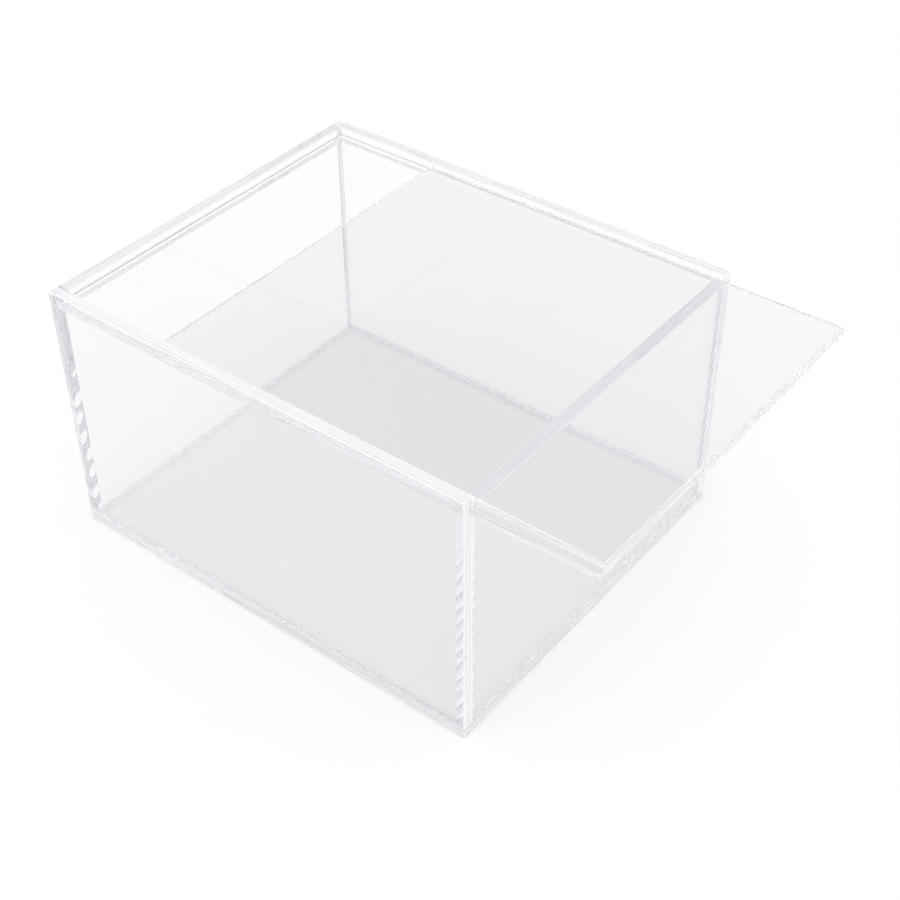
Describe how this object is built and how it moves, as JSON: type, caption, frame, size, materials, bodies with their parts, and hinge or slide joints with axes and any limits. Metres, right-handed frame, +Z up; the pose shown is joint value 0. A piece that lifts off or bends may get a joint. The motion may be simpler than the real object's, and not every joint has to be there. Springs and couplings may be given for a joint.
{
  "type": "acrylic display case",
  "caption": "Clear acrylic display case for a boxed collectible, with bonded flat panels and a rebated lid that slides out along grooves in the walls.",
  "frame": {"origin": "middle of the underside of the base panel", "axes": "+X the way the lid slides out, +Y from the front wall towards the back wall, +Z up"},
  "size_m": [0.188, 0.128, 0.0875],
  "materials": {
    "panel_acrylic": "clear, polished",
    "lid_acrylic": "clear, polished",
    "cured_adhesive": "clear, with small voids"
  },
  "bodies": {
    "case": {"base_panel": "panel_acrylic", "front_wall": "panel_acrylic", "back_wall": "panel_acrylic", "left_end_wall": "panel_acrylic", "right_end_wall": "panel_acrylic", "front_left_bond": "cured_adhesive", "back_left_bond": "cured_adhesive", "front_right_bond": "cured_adhesive", "back_right_bond": "cured_adhesive", "front_foot_bond": "cured_adhesive", "back_foot_bond": "cured_adhesive", "left_foot_bond": "cured_adhesive", "right_foot_bond": "cured_adhesive"},
    "lid": {"sliding_lid": "lid_acrylic"}
  },
  "joints": [
    {"name": "lid_slide", "type": "slide", "parent": "case", "child": "lid", "axis": [1, 0, 0], "range_m": [-0.038, 0.113]}
  ]
}
